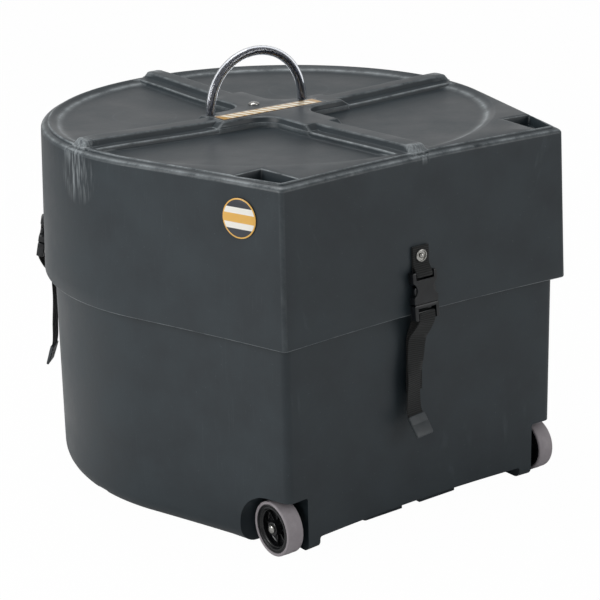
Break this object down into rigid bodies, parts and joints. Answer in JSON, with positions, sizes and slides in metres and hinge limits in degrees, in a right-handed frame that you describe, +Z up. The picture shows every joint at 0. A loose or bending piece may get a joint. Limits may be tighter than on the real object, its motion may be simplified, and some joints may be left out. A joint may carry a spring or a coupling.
{
  "type": "bass drum case",
  "caption": "Moulded drum case with a flat front, telescoping lid with raised cross, rope handle, buckled straps and wheels in the front corners.",
  "frame": {"origin": "centre of the outline seen from above, on the floor under the wheels", "axes": "+Z up, -Y out of the flat front face, X left to right along the wheels' axles"},
  "size_m": [0.619, 0.6426, 0.5558],
  "materials": {
    "case_plastic": "rotomoulded polyethylene, fine grain, worn",
    "buckle_plastic": "moulded acetal, satin",
    "webbing": "woven polypropylene webbing",
    "tip_plastic": "moulded plastic",
    "steel": "nickel plated steel",
    "tyre_rubber": "grey rubber",
    "hub_plastic": "black moulded plastic, glossy",
    "sleeve_clear": "clear flexible PVC tube",
    "rope": "braided cord",
    "label": "gold strip, bare",
    "badge": "printed round sticker"
  },
  "bodies": {
    "base": {"base_shell": "case_plastic", "left_wheel_bolt": "steel", "left_wheel_spacer": "steel", "left_wheel_nut": "steel", "right_wheel_bolt": "steel", "right_wheel_spacer": "steel", "right_wheel_nut": "steel", "front_base_webbing": "webbing", "front_buckle_plug": "buckle_plastic", "front_strap_tip": "tip_plastic", "front_base_washer": "steel", "front_base_burr": "steel", "front_base_rivet": "steel", "left_base_webbing": "webbing", "left_buckle_plug": "buckle_plastic", "left_strap_tip": "tip_plastic", "left_base_washer": "steel", "left_base_burr": "steel", "left_base_rivet": "steel", "right_base_webbing": "webbing", "right_buckle_plug": "buckle_plastic", "right_strap_tip": "tip_plastic", "right_base_washer": "steel", "right_base_burr": "steel", "right_base_rivet": "steel"},
    "lid": {"lid_shell": "case_plastic", "label_strip": "label", "size_badge": "badge", "centre_screw": "steel", "centre_nut": "steel", "handle_sleeve": "sleeve_clear", "handle_rope": "rope", "handle_stop_left": "steel", "handle_stop_right": "steel", "front_lid_webbing": "webbing", "front_buckle_socket": "buckle_plastic", "front_lid_washer": "steel", "front_lid_burr": "steel", "front_lid_rivet": "steel", "left_lid_webbing": "webbing", "left_buckle_socket": "buckle_plastic", "left_lid_washer": "steel", "left_lid_burr": "steel", "left_lid_rivet": "steel", "right_lid_webbing": "webbing", "right_buckle_socket": "buckle_plastic", "right_lid_washer": "steel", "right_lid_burr": "steel", "right_lid_rivet": "steel"},
    "left_wheel": {"left_wheel_tyre": "tyre_rubber", "left_wheel_hub": "hub_plastic"},
    "right_wheel": {"right_wheel_tyre": "tyre_rubber", "right_wheel_hub": "hub_plastic"}
  },
  "joints": [
    {"name": "lid_lift", "type": "slide", "parent": "base", "child": "lid", "axis": [0, 0, 1], "range_m": [0, 0.45]},
    {"name": "left_wheel_spin", "type": "hinge", "parent": "base", "child": "left_wheel", "pos_m": [-0.207, -0.26706, 0.0348], "axis": [1, 0, 0], "continuous": true},
    {"name": "right_wheel_spin", "type": "hinge", "parent": "base", "child": "right_wheel", "pos_m": [0.207, -0.26706, 0.0348], "axis": [1, 0, 0], "continuous": true}
  ]
}
